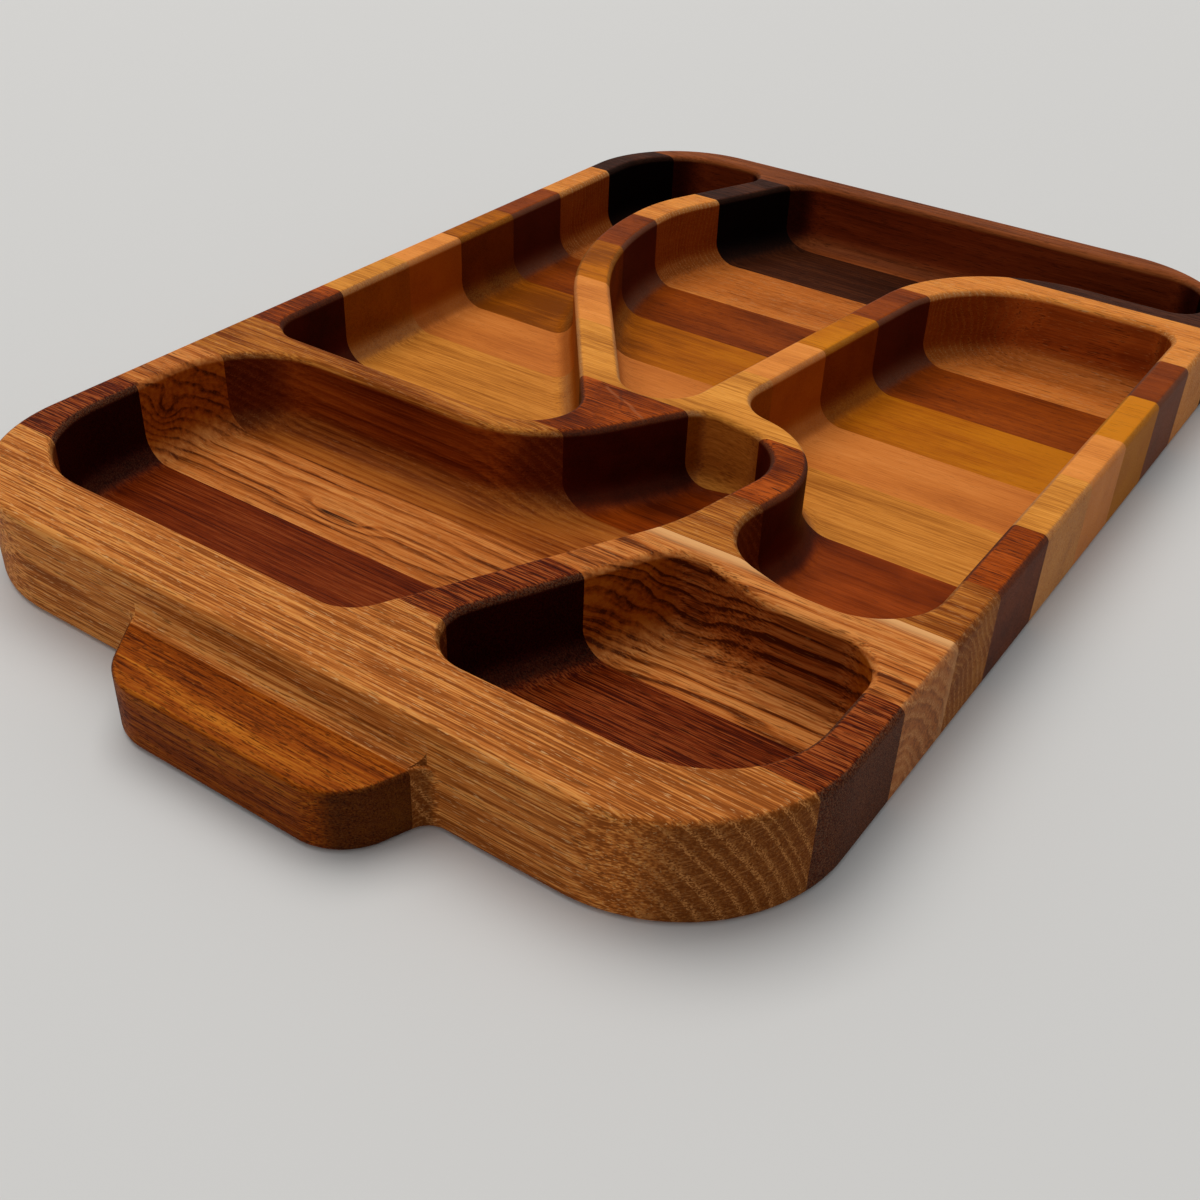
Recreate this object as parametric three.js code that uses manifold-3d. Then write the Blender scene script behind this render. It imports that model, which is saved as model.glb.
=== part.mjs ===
// Serving tray with five wells: twelve staves of different woods, edge-glued into one board,
// and a handle block glued to a ledge on each end.
// Millimetres, +Z up. X runs across the tray along the grain, Y runs along it from front to back,
// and the origin lies under the middle of the tray, on the surface that it stands on.

import * as THREE from 'three';
import { mergeVertices } from 'three/addons/utils/BufferGeometryUtils.js';
import Module from 'manifold-3d';

const wasm = await Module();
wasm.setup();

// Board
const trayWidth = 300;
const boardThickness = 34;
const cornerRadius = 52;
const edgeRound = 2.5;

// Stave widths along Y, from front to back
const lightOakWidth = 36.5;
const frontJatobaWidth = 41.5;
const figuredOakWidth = 34;
const brownOakWidth = 30;
const middleJatobaWidth = 38;
const goldenIrokoWidth = 39;
const cherryWidth = 33.5;
const amberIrokoWidth = 36.5;
const backJatobaWidth = 35.5;
const tanOakWidth = 39.5;
const wengeWidth = 38.5;
const walnutWidth = 21.5;

// Staves from front to back, each of its own wood
const staves = [
  { name: 'stave_01_oak', width: lightOakWidth, colour: '#b06a34', roughness: 0.55 },
  { name: 'stave_02_jatoba', width: frontJatobaWidth, colour: '#7d381b', roughness: 0.5 },
  { name: 'stave_03_oak', width: figuredOakWidth, colour: '#a6642e', roughness: 0.55 },
  { name: 'stave_04_oak', width: brownOakWidth, colour: '#9c5c2c', roughness: 0.55 },
  { name: 'stave_05_jatoba', width: middleJatobaWidth, colour: '#843d1a', roughness: 0.5 },
  { name: 'stave_06_iroko', width: goldenIrokoWidth, colour: '#c87f39', roughness: 0.5 },
  { name: 'stave_07_cherry', width: cherryWidth, colour: '#cb7d43', roughness: 0.5 },
  { name: 'stave_08_iroko', width: amberIrokoWidth, colour: '#ad6019', roughness: 0.5 },
  { name: 'stave_09_jatoba', width: backJatobaWidth, colour: '#853e19', roughness: 0.5 },
  { name: 'stave_10_oak', width: tanOakWidth, colour: '#bb7b47', roughness: 0.55 },
  { name: 'stave_11_wenge', width: wengeWidth, colour: '#3a2117', roughness: 0.55 },
  { name: 'stave_12_walnut', width: walnutWidth, colour: '#804c2b', roughness: 0.55 },
];
const handleWood = { colour: '#70320e', roughness: 0.5 };

// Rim: thickness from the tray's outside to the wells' walls
const rimSide = 12.5;
const rimFront = 24;
const rimBack = 12.5;

// Wells: the tightest corner is a little wider than the cove-ended cutter that made it
const floorThickness = 5;
const coveRadius = 10;
const cutterEase = 1;
const tightCorner = coveRadius + cutterEase;
const footCorner = 14;
const sideCorner = 16;
const tipCorner = 18;
const turnCorner = 24;
const rimCorner = 36;

// Dividers: thickness from wall to wall
const forkDivider = 13.5;
const forkBranch = 10;
const hookDivider = 13;
const neckDivider = 11;
const crossDivider = 10;
const sweepDivider = 14.5;
const longDivider = 14;
const backDivider = 19.5;

// Bends in the dividers, at mid-thickness, and the flares where one divider runs into the next
const hookBend = 30;
const shoulderBend = 56;
const sweepLowBend = 140;
const sweepHighBend = 65;
const forkFlare = 80;
const branchFlare = 45;
const slantFlare = 52;

// Turning points of the dividers: distances from the tray's outer faces
const forkFootFromRight = 134;
const forkFromRight = 89;
const forkFromFront = 115;
const branchFromRight = 50;
const branchFromFront = 102;
const hookFromRight = 76.5;
const hookFromFront = 182.5;
const neckFromRight = 127;
const neckFromFront = 191.5;
const slantTopFromRight = 122;
const slantTopFromFront = 191;
const slantFootFromRight = 157;
const slantFootFromFront = 131;
const shoulderFromRight = 108;
const shoulderFromBack = 60;
const crossFromFront = 134;
const sweepFootFromRight = 130;
const sweepFromLeft = 58;
const sweepLowFromFront = 281.5;
const sweepHighFromBack = 81;
const sweepTopFromLeft = 84.5;

// Handles: the board's end is milled down to a ledge, and the block is glued to the ledge
const handleLength = 109;
const handleOffCentre = 3;
const handleReach = 25;
const handleDrop = 13;
const leftTaper = 17;
const rightTaper = 9.5;
const ledgeReach = 4.6;
const ledgeCove = 4.6;
const handleCorner = 20;
const handleRoot = 7;
const handleEdge = 1.5;

// Facets of the round forms
const cornerStep = THREE.MathUtils.degToRad(9);
const coveSteps = 5;
const edgeSteps = 4;

// Working allowances: a cutter runs past what it cuts, and a joined piece bites into its neighbour
const overrun = 20;
const bite = 0.05;

const halfWidth = trayWidth / 2;
const halfLength = staves.reduce((length, stave) => length + stave.width, 0) / 2;
const handleTop = boardThickness - handleDrop;

// Places measured from the tray's outer faces
const fromLeft = (distance) => distance - halfWidth;
const fromRight = (distance) => halfWidth - distance;
const fromFront = (distance) => distance - halfLength;
const fromBack = (distance) => halfLength - distance;

const point = (x, y) => new THREE.Vector2(x, y);
const middle = point(0, 0);

// A straight run of wall from one point to another, with a thickness shared by the wells on both sides
const run = (from, to, thickness = 0) => ({ from, to, inset: thickness / 2 });
const reversed = ({ from, to, inset }) => ({ from: to, to: from, inset });

// How a side ends: in a corner of a set radius, or in a bend that both sides of a divider share
const corner = (side, radius) => ({ ...side, radiusOf: () => radius });
const bend = (side, midRadius) => ({
  ...side,
  radiusOf: (convexity, meanInset) => midRadius - convexity * meanInset,
});

// Where the line along side a meets the line along side b, both moved the given distance to their left
function meetingPoint(a, b, shift = 0) {
  const start = a.origin.clone().addScaledVector(a.normal, shift);
  const gap = b.origin.clone().addScaledVector(b.normal, shift).sub(start);
  const along = gap.cross(b.direction) / a.direction.cross(b.direction);
  return start.addScaledVector(a.direction, along);
}

// The arcs of a closed outline whose straight sides run counter-clockwise, so the inside is on the left.
// An arc keeps its centre when the outline is offset, so all offsets have matching points.
function outlineArcs(sides) {
  const lines = sides.map((side) => {
    const direction = side.to.clone().sub(side.from).normalize();
    const normal = point(-direction.y, direction.x);
    return { ...side, direction, normal, origin: side.from.clone().addScaledVector(normal, side.inset) };
  });
  const corners = lines.map((line, i) => {
    const next = lines[(i + 1) % lines.length];
    const turn = Math.atan2(line.direction.cross(next.direction), line.direction.dot(next.direction));
    const convexity = Math.sign(turn);
    const radius = line.radiusOf(convexity, (line.inset + next.inset) / 2);
    const tangent = radius * Math.tan(Math.abs(turn) / 2);
    return { line, next, turn, convexity, radius, tangent, tip: meetingPoint(line, next) };
  });
  // Two arcs that would meet on a short side share its length
  const squeeze = corners.map((end, i) => {
    const start = corners.at(i - 1);
    return Math.min(1, end.tip.distanceTo(start.tip) / (start.tangent + end.tangent));
  });
  return corners.map(({ line, next, turn, convexity, radius }, i) => {
    const fitted = radius * Math.min(squeeze[i], squeeze[(i + 1) % corners.length]);
    return {
      convexity,
      turn,
      radius: fitted,
      centre: meetingPoint(line, next, convexity * fitted),
      startAngle: line.normal.clone().multiplyScalar(-convexity).angle(),
      steps: Math.ceil(Math.abs(turn) / cornerStep),
    };
  });
}

// The outline's points, moved the given distance to its inside
function outlinePoints(arcs, offset) {
  return arcs.flatMap(({ convexity, turn, radius, centre, startAngle, steps }) =>
    Array.from({ length: steps + 1 }, (_, k) => {
      const angle = startAngle + (turn * k) / steps;
      const reach = radius - convexity * offset;
      return point(centre.x + reach * Math.cos(angle), centre.y + reach * Math.sin(angle));
    }),
  );
}

// A closed solid through level rings of matching points, from the lowest ring to the highest
function loft(rings) {
  const count = rings[0].points.length;
  const positions = rings.flatMap(({ points, z }) => points.flatMap(({ x, y }) => [x, y, z]));
  const triangles = [];
  rings.slice(1).forEach((_, level) => {
    for (let i = 0; i < count; i += 1) {
      const j = (i + 1) % count;
      const low = level * count;
      const high = low + count;
      triangles.push(low + i, low + j, high + j, low + i, high + j, high + i);
    }
  });
  const top = (rings.length - 1) * count;
  THREE.ShapeUtils.triangulateShape(rings[0].points, []).forEach(([a, b, c]) => triangles.push(a, c, b));
  THREE.ShapeUtils.triangulateShape(rings.at(-1).points, []).forEach(([a, b, c]) => {
    triangles.push(top + a, top + b, top + c);
  });
  const geometry = new THREE.BufferGeometry();
  geometry.setAttribute('position', new THREE.Float32BufferAttribute(positions, 3));
  geometry.setIndex(triangles);
  return solidFrom(geometry);
}

// A solid for cutting and joining, from a geometry's points and triangles
function solidFrom(geometry) {
  geometry.deleteAttribute('normal');
  geometry.deleteAttribute('uv');
  const merged = mergeVertices(geometry);
  const mesh = new wasm.Mesh({
    numProp: 3,
    vertProperties: merged.attributes.position.array,
    triVerts: new Uint32Array(merged.index.array),
  });
  return new wasm.Manifold(mesh);
}

// A quarter circle in steps, as sine and cosine from level to upright
function quarterTurn(steps) {
  return Array.from({ length: steps + 1 }, (_, k) => {
    const angle = (k / steps) * (Math.PI / 2);
    return { sine: Math.sin(angle), cosine: Math.cos(angle) };
  });
}

// Rings of an outside edge rounded over at the bottom and at the top
const bottomEdge = (radius) =>
  quarterTurn(edgeSteps).map(({ sine, cosine }) => ({
    offset: radius * (1 - sine),
    z: radius * (1 - cosine),
  }));
const topEdge = (radius, top) =>
  quarterTurn(edgeSteps).map(({ sine, cosine }) => ({
    offset: radius * (1 - cosine),
    z: top - radius * (1 - sine),
  }));

function loftOutline(arcs, levels) {
  return loft(levels.map(({ offset, z }) => ({ points: outlinePoints(arcs, offset), z })));
}

// The inner walls of the rim
const leftWall = fromLeft(rimSide);
const rightWall = fromRight(rimSide);
const frontWall = fromFront(rimFront);
const backWall = fromBack(rimBack);
const frontRim = run(point(leftWall, frontWall), point(rightWall, frontWall));
const rightRim = run(point(rightWall, frontWall), point(rightWall, backWall));
const backRim = run(point(rightWall, backWall), point(leftWall, backWall));
const leftRim = run(point(leftWall, backWall), point(leftWall, frontWall));

// The dividers' turning points
const forkFoot = point(fromRight(forkFootFromRight), frontWall);
const fork = point(fromRight(forkFromRight), fromFront(forkFromFront));
const branch = point(fromRight(branchFromRight), fromFront(branchFromFront));
const branchEnd = point(rightWall, branch.y);
const hook = point(fromRight(hookFromRight), fromFront(hookFromFront));
const neck = point(fromRight(neckFromRight), fromFront(neckFromFront));
const slantTop = point(fromRight(slantTopFromRight), fromFront(slantTopFromFront));
const slantFoot = point(fromRight(slantFootFromRight), fromFront(slantFootFromFront));
const shoulder = point(fromRight(shoulderFromRight), fromBack(shoulderFromBack));
const shoulderEnd = point(rightWall, shoulder.y);
const sweepFoot = point(fromRight(sweepFootFromRight), fromFront(crossFromFront));
const crossEnd = point(leftWall, sweepFoot.y);
const sweepLow = point(fromLeft(sweepFromLeft), fromFront(sweepLowFromFront));
const sweepHigh = point(fromLeft(sweepFromLeft), fromBack(sweepHighFromBack));
const sweepTop = point(fromLeft(sweepTopFromLeft), backWall);

// The dividers' straight runs
const forkRun = run(forkFoot, fork, forkDivider);
const branchRun = run(branch, fork, forkBranch);
const branchEndRun = run(branchEnd, branch, forkBranch);
const hookRun = run(fork, hook, hookDivider);
const neckRun = run(hook, neck, neckDivider);
const slantRun = run(slantTop, slantFoot);
const crossRun = run(sweepFoot, crossEnd, crossDivider);
const sweepLowRun = run(sweepFoot, sweepLow, sweepDivider);
const sweepMidRun = run(sweepLow, sweepHigh, sweepDivider);
const sweepTopRun = run(sweepHigh, sweepTop, sweepDivider);
const longRun = run(neck, shoulder, longDivider);
const backRun = run(shoulder, shoulderEnd, backDivider);

const frontLeftWell = [
  corner(frontRim, footCorner),
  corner(forkRun, forkFlare),
  bend(hookRun, hookBend),
  corner(neckRun, tightCorner),
  corner(slantRun, slantFlare),
  corner(crossRun, rimCorner),
  corner(leftRim, rimCorner),
];
const frontRightWell = [
  corner(frontRim, rimCorner),
  corner(rightRim, sideCorner),
  corner(branchEndRun, branchFlare),
  corner(branchRun, footCorner),
  corner(reversed(forkRun), sideCorner),
];
const leftWell = [
  corner(reversed(crossRun), tipCorner),
  bend(sweepLowRun, sweepLowBend),
  bend(sweepMidRun, sweepHighBend),
  corner(sweepTopRun, tightCorner),
  corner(backRim, rimCorner),
  corner(leftRim, footCorner),
];
const backWell = [
  corner(reversed(sweepLowRun), sideCorner),
  bend(longRun, shoulderBend),
  corner(backRun, tightCorner),
  corner(rightRim, turnCorner),
  corner(backRim, turnCorner),
  bend(reversed(sweepTopRun), sweepHighBend),
  bend(reversed(sweepMidRun), sweepLowBend),
];
const rightWell = [
  corner(reversed(branchEndRun), turnCorner),
  corner(rightRim, tightCorner),
  bend(reversed(backRun), shoulderBend),
  corner(reversed(longRun), sideCorner),
  bend(reversed(neckRun), hookBend),
  corner(reversed(hookRun), turnCorner),
  corner(reversed(branchRun), branchFlare),
];

// A well: level floor, cove, upright wall, and a mouth that is rounded over
function wellCutter(sides) {
  const cove = quarterTurn(coveSteps).map(({ sine, cosine }) => ({
    offset: coveRadius * (1 - sine),
    z: floorThickness + coveRadius * (1 - cosine),
  }));
  const mouth = quarterTurn(edgeSteps).map(({ sine, cosine }) => ({
    offset: edgeRound * (cosine - 1),
    z: boardThickness - edgeRound * (1 - sine),
  }));
  const clear = { offset: -edgeRound, z: boardThickness + overrun };
  return loftOutline(outlineArcs(sides), [...cove, ...mouth, clear]);
}

// The board without its handles: a rounded rectangle with its edges rounded over
function boardBlank() {
  const corners = [
    point(-halfWidth, -halfLength),
    point(halfWidth, -halfLength),
    point(halfWidth, halfLength),
    point(-halfWidth, halfLength),
  ];
  const sides = corners.map((from, i) => corner(run(from, corners[(i + 1) % corners.length]), cornerRadius));
  return loftOutline(outlineArcs(sides), [...bottomEdge(edgeRound), ...topEdge(edgeRound, boardThickness)]);
}

// A handle with its ledge, made on the tray's front end and turned about the tray's middle. It flares into
// the board, and its top is milled down with a cove against the board's end.
function handleStock(heading) {
  const shoulderLine = -halfLength + bite;
  const inside = shoulderLine + overrun;
  const nose = -halfLength - handleReach;
  const left = handleOffCentre - handleLength / 2;
  const right = handleOffCentre + handleLength / 2;
  const noseLeft = left + leftTaper;
  const noseRight = right - rightTaper;
  const farLeft = left - overrun;
  const farRight = right + overrun;
  const plan = [
    { x: noseRight, y: nose, radius: handleCorner },
    { x: right, y: shoulderLine, radius: handleRoot },
    { x: farRight, y: shoulderLine, radius: handleRoot },
    { x: farRight, y: inside, radius: handleRoot },
    { x: farLeft, y: inside, radius: handleRoot },
    { x: farLeft, y: shoulderLine, radius: handleRoot },
    { x: left, y: shoulderLine, radius: handleRoot },
    { x: noseLeft, y: nose, radius: handleCorner },
  ];
  const sides = plan.map(({ x, y, radius }, i) => {
    const start = plan.at(i - 1);
    const from = point(start.x, start.y).rotateAround(middle, heading);
    const to = point(x, y).rotateAround(middle, heading);
    return corner(run(from, to), radius);
  });
  const stock = loftOutline(outlineArcs(sides), [
    ...bottomEdge(edgeRound),
    ...topEdge(handleEdge, handleTop),
    { offset: handleEdge, z: handleTop + ledgeCove },
  ]);
  return stock.subtract(ledgeCutter(heading, shoulderLine, farLeft, farRight));
}

// The milling cutter's path along the front end: a level cut whose inner corner is a cove
function ledgeCutter(heading, wall, left, right) {
  const away = wall - handleReach - overrun;
  const above = handleTop + ledgeCove + overrun;
  const profile = new THREE.Shape();
  profile.moveTo(away, handleTop);
  quarterTurn(coveSteps).forEach(({ sine, cosine }) => {
    profile.lineTo(wall - ledgeCove * (1 - sine), handleTop + ledgeCove * (1 - cosine));
  });
  profile.lineTo(wall, above);
  profile.lineTo(away, above);
  const cutter = new THREE.ExtrudeGeometry(profile, { depth: right - left, bevelEnabled: false });
  cutter.rotateY(Math.PI / 2).rotateX(Math.PI / 2).translate(left, 0, 0).rotateZ(heading);
  return solidFrom(cutter);
}

// The board's slice between two planes square to Y
function sliceBetween(board, near, far) {
  const reach = halfWidth + overrun;
  const points = [point(-reach, near), point(reach, near), point(reach, far), point(-reach, far)];
  const slab = loft([
    { points, z: -overrun },
    { points, z: boardThickness + overrun },
  ]);
  return board.intersect(slab);
}

function meshFrom(solid, name, { colour, roughness }) {
  const { vertProperties, triVerts } = solid.getMesh();
  const geometry = new THREE.BufferGeometry();
  geometry.setAttribute('position', new THREE.BufferAttribute(new Float32Array(vertProperties), 3));
  geometry.setIndex([...triVerts]);
  const finish = { color: colour, roughness, metalness: 0, flatShading: true };
  const mesh = new THREE.Mesh(geometry, new THREE.MeshStandardMaterial(finish));
  mesh.name = name;
  return mesh;
}

// The whole board with its handles, before the glue joints divide it into pieces
const wells = [frontLeftWell, frontRightWell, leftWell, backWell, rightWell];
const frontHeading = 0;
const backHeading = Math.PI;
const shaped = boardBlank().add(handleStock(frontHeading)).add(handleStock(backHeading));
const board = wells.reduce((solid, well) => solid.subtract(wellCutter(well)), shaped);

const tray = new THREE.Group();
const ledgeEnd = halfLength + ledgeReach;
const handleEnd = halfLength + handleReach + overrun;
tray.add(meshFrom(sliceBetween(board, -handleEnd, -ledgeEnd), 'handle_front', handleWood));
let joint = -halfLength;
staves.forEach((stave, i) => {
  const near = i === 0 ? -ledgeEnd : joint;
  joint += stave.width;
  const far = i === staves.length - 1 ? ledgeEnd : joint;
  tray.add(meshFrom(sliceBetween(board, near, far), stave.name, stave));
});
tray.add(meshFrom(sliceBetween(board, ledgeEnd, handleEnd), 'handle_back', handleWood));

export default tray;
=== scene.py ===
import math

import bpy
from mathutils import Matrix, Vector


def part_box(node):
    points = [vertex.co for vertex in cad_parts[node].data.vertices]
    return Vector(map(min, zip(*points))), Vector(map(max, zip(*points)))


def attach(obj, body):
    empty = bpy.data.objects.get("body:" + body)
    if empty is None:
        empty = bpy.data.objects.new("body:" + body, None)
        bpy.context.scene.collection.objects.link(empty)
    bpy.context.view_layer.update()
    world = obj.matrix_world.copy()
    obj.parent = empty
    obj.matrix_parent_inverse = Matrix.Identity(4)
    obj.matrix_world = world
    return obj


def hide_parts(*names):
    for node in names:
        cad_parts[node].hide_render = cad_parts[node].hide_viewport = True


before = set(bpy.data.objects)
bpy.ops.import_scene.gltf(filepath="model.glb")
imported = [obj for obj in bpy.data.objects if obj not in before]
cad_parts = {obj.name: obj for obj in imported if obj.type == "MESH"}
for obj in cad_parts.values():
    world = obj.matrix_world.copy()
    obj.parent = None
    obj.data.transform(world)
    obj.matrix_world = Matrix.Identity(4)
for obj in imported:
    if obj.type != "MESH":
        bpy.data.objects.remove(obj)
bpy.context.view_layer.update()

scene = bpy.context.scene
mm = 0.001
print("stage: frame loaded,", len(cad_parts), "nodes")

board = {  # the glued board, in millimetres
    "width": 300, "length": 424, "thickness": 34,
    "corner": 52, "edge": 2.5,
    "rimSide": 12.5, "rimFront": 24, "rimBack": 12.5,
    "cornerStep": math.radians(2.5), "edgeSteps": 7,  # fineness of the round forms
    "weld": 0.001,  # points nearer than this are one
}

wells = {  # what the cove-ended cutter leaves, in millimetres
    "floor": 5, "cove": 10, "coveSteps": 12, "above": 20,
    "tight": 11, "foot": 14, "side": 16, "tip": 18, "turn": 24, "rim": 36,  # corner radii in plan
    "forkFlare": 80, "branchFlare": 45, "slantFlare": 52,
    "hookBend": 30, "shoulderBend": 56, "sweepLowBend": 140, "sweepHighBend": 65,  # at mid-thickness
}

dividers = {  # thickness of the walls between the wells, in millimetres
    "fork": 13.5, "branch": 10, "hook": 13, "neck": 11,
    "cross": 10, "sweep": 14.5, "long": 14, "back": 19.5,
}

handles = {  # block and ledge, in millimetres
    "length": 109, "offCentre": 3, "reach": 25, "drop": 13,
    "leftTaper": 17, "rightTaper": 9.5, "corner": 20, "root": 7, "edge": 1.5,
    "ledgeCove": 4.6, "coveSteps": 8, "bite": 0.05, "past": 20,
}

halfWidth = board["width"] / 2
halfLength = board["length"] / 2


def fromRight(x, y):  # a place by its distances from the right and front faces
    return Vector((halfWidth - x, y - halfLength))


def fromLeft(x, y):
    return Vector((x - halfWidth, y - halfLength))


def run(start, end, thickness=0.0):  # a straight stretch of wall, shared by the wells on both sides
    return {"start": start, "end": end, "inset": thickness / 2}


def back(side):  # the same stretch, as the well on its other side meets it
    return {"start": side["end"], "end": side["start"], "inset": side["inset"]}


def corner(side, radius):
    return {**side, "radius": radius, "shared": False}


def bend(side, radius):  # a bend whose radius is given at the divider's mid-thickness
    return {**side, "radius": radius, "shared": True}


def meeting(a, b, shift=0.0):  # where two sides meet, both moved to their left
    start = a["origin"] + a["inward"] * shift
    gap = b["origin"] + b["inward"] * shift - start
    return start + a["along"] * (gap.cross(b["along"]) / a["along"].cross(b["along"]))


def sideLines(sides):
    lines = []
    for side in sides:
        along = (side["end"] - side["start"]).normalized()
        inward = Vector((-along.y, along.x))
        origin = side["start"] + inward * side["inset"]
        lines.append({**side, "along": along, "inward": inward, "origin": origin})
    return lines


def outlineArcs(sides):  # sides run counter-clockwise; every offset of the outline keeps the arcs' centres
    lines = sideLines(sides)
    ends = []
    for i, line in enumerate(lines):
        after = lines[(i + 1) % len(lines)]
        turn = math.atan2(line["along"].cross(after["along"]), line["along"].dot(after["along"]))
        sign = math.copysign(1, turn)
        radius = line["radius"]
        if line["shared"]:
            radius -= sign * (line["inset"] + after["inset"]) / 2
        ends.append({"line": line, "after": after, "turn": turn, "sign": sign, "radius": radius,
                     "tangent": radius * math.tan(abs(turn) / 2), "tip": meeting(line, after)})
    squeeze = []
    for i, end in enumerate(ends):  # two arcs on a short side share its length
        start = ends[i - 1]
        squeeze.append(min(1, (end["tip"] - start["tip"]).length / (start["tangent"] + end["tangent"])))
    arcs = []
    for i, end in enumerate(ends):
        radius = end["radius"] * min(squeeze[i], squeeze[(i + 1) % len(ends)])
        outward = end["line"]["inward"] * -end["sign"]
        arcs.append({"sign": end["sign"], "turn": end["turn"], "radius": radius,
                     "centre": meeting(end["line"], end["after"], end["sign"] * radius),
                     "first": math.atan2(outward.y, outward.x),
                     "steps": math.ceil(abs(end["turn"]) / board["cornerStep"])})
    return arcs


def ring(arcs, offset):
    points = []
    for arc in arcs:
        reach = arc["radius"] - arc["sign"] * offset
        for k in range(arc["steps"] + 1):
            angle = arc["first"] + arc["turn"] * k / arc["steps"]
            points.append(arc["centre"] + Vector((math.cos(angle), math.sin(angle))) * reach)
    return points


def quarter(steps):  # sine and cosine from level to upright
    angles = [k / steps * math.pi / 2 for k in range(steps + 1)]
    return [(math.sin(angle), math.cos(angle)) for angle in angles]


def foot(radius, base, steps):  # offset and level along a quarter round that rises from a flat
    return [(radius * (1 - s), base + radius * (1 - c)) for s, c in quarter(steps)]


def crown(radius, top, steps):  # the same, closing under a flat
    return [(radius * (1 - c), top - radius * (1 - s)) for s, c in quarter(steps)]


def newObject(name, data):
    obj = bpy.data.objects.new(name, data)
    scene.collection.objects.link(obj)
    return obj


def loft(name, rings):  # closed solid through level rings, lowest first
    verts = [(p.x * mm, p.y * mm, z * mm) for points, z in rings for p in points]
    count = len(rings[0][0])
    faces = [tuple(reversed(range(count)))]
    for level in range(len(rings) - 1):
        low = level * count
        for i in range(count):
            j = (i + 1) % count
            faces.append((low + i, low + j, low + count + j, low + count + i))
    faces.append(tuple(range(len(verts) - count, len(verts))))
    mesh = bpy.data.meshes.new(name)
    mesh.from_pydata(verts, [], faces)
    mesh.validate()
    obj = newObject(name, mesh)
    weld = obj.modifiers.new("weld", "WELD")
    weld.merge_threshold = board["weld"] * mm
    return obj


def loftOutline(name, sides, levels):
    arcs = outlineArcs(sides)
    return loft(name, [(ring(arcs, offset), z) for offset, z in levels])


def boardBlank():
    x, y, edge, steps = halfWidth, halfLength, board["edge"], board["edgeSteps"]
    tips = [Vector(p) for p in ((-x, -y), (x, -y), (x, y), (-x, y))]
    sides = [corner(run(tip, tips[(i + 1) % 4]), board["corner"]) for i, tip in enumerate(tips)]
    return loftOutline("boardBlank", sides, foot(edge, 0, steps) + crown(edge, board["thickness"], steps))


def wellCutter(name, sides):
    edge, top = board["edge"], board["thickness"]
    levels = foot(wells["cove"], wells["floor"], wells["coveSteps"])
    levels += [(-offset, z) for offset, z in crown(edge, top, board["edgeSteps"])]  # over the rounded rim
    levels.append((-edge, top + wells["above"]))
    return loftOutline(name, sides, levels)


def turned(p, heading):
    return Vector((p[0] * math.cos(heading) - p[1] * math.sin(heading),
                   p[0] * math.sin(heading) + p[1] * math.cos(heading)))


def cut(obj, other, operation):
    step = obj.modifiers.new(operation.lower(), "BOOLEAN")
    step.operation = operation
    step.object = other
    step.solver = "MANIFOLD"


def plainMesh(obj, name):  # the evaluated shape as a plain mesh
    bpy.context.view_layer.update()
    mesh = bpy.data.meshes.new_from_object(obj.evaluated_get(bpy.context.evaluated_depsgraph_get()))
    mesh.name = name
    return mesh


def ledgeCutter(name, heading, ends, profile):  # a straight bar that clears the room above the block
    verts = []
    for x in ends:
        for y, z in profile:
            p = turned((x, y), heading)
            verts.append((p.x * mm, p.y * mm, z * mm))
    n = len(profile)
    faces = [tuple(reversed(range(n))), tuple(range(n, 2 * n))]
    faces += [(i, (i + 1) % n, n + (i + 1) % n, n + i) for i in range(n)]
    mesh = bpy.data.meshes.new(name)
    mesh.from_pydata(verts, [], faces)
    return newObject(name, mesh)


def handleStock(name, heading):  # block and ledge in one, made on the front end and turned about the middle
    h = handles
    wall, nose = h["bite"] - halfLength, -halfLength - h["reach"]
    inside, away = wall + h["past"], nose - h["past"]
    left, right = h["offCentre"] - h["length"] / 2, h["offCentre"] + h["length"] / 2
    farLeft, farRight = left - h["past"], right + h["past"]
    plan = [(right - h["rightTaper"], nose, h["corner"]), (right, wall, h["root"]),
            (farRight, wall, h["root"]), (farRight, inside, h["root"]),
            (farLeft, inside, h["root"]), (farLeft, wall, h["root"]),
            (left, wall, h["root"]), (left + h["leftTaper"], nose, h["corner"])]
    sides = [corner(run(turned(plan[i - 1], heading), turned(tip, heading)), tip[2])
             for i, tip in enumerate(plan)]
    cove, top = h["ledgeCove"], board["thickness"] - h["drop"]
    clear = top + cove + h["past"]
    levels = foot(board["edge"], 0, board["edgeSteps"]) + crown(h["edge"], top, board["edgeSteps"])
    levels.append((h["edge"], top + cove))
    stock = loftOutline(name, sides, levels)
    profile = [(away, top)] + [(wall - offset, z) for offset, z in foot(cove, top, h["coveSteps"])]
    profile += [(wall, clear), (away, clear)]
    ledge = ledgeCutter(name + "Ledge", heading, (farLeft, farRight), profile)
    cut(stock, ledge, "DIFFERENCE")
    solid = newObject(name, plainMesh(stock, name))
    for scrap in (stock, ledge):
        bpy.data.objects.remove(scrap)
    return solid


leftWall, rightWall = board["rimSide"] - halfWidth, halfWidth - board["rimSide"]
frontWall, backWall = board["rimFront"] - halfLength, halfLength - board["rimBack"]
frontRim = run(Vector((leftWall, frontWall)), Vector((rightWall, frontWall)))
rightRim = run(Vector((rightWall, frontWall)), Vector((rightWall, backWall)))
backRim = run(Vector((rightWall, backWall)), Vector((leftWall, backWall)))
leftRim = run(Vector((leftWall, backWall)), Vector((leftWall, frontWall)))

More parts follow.
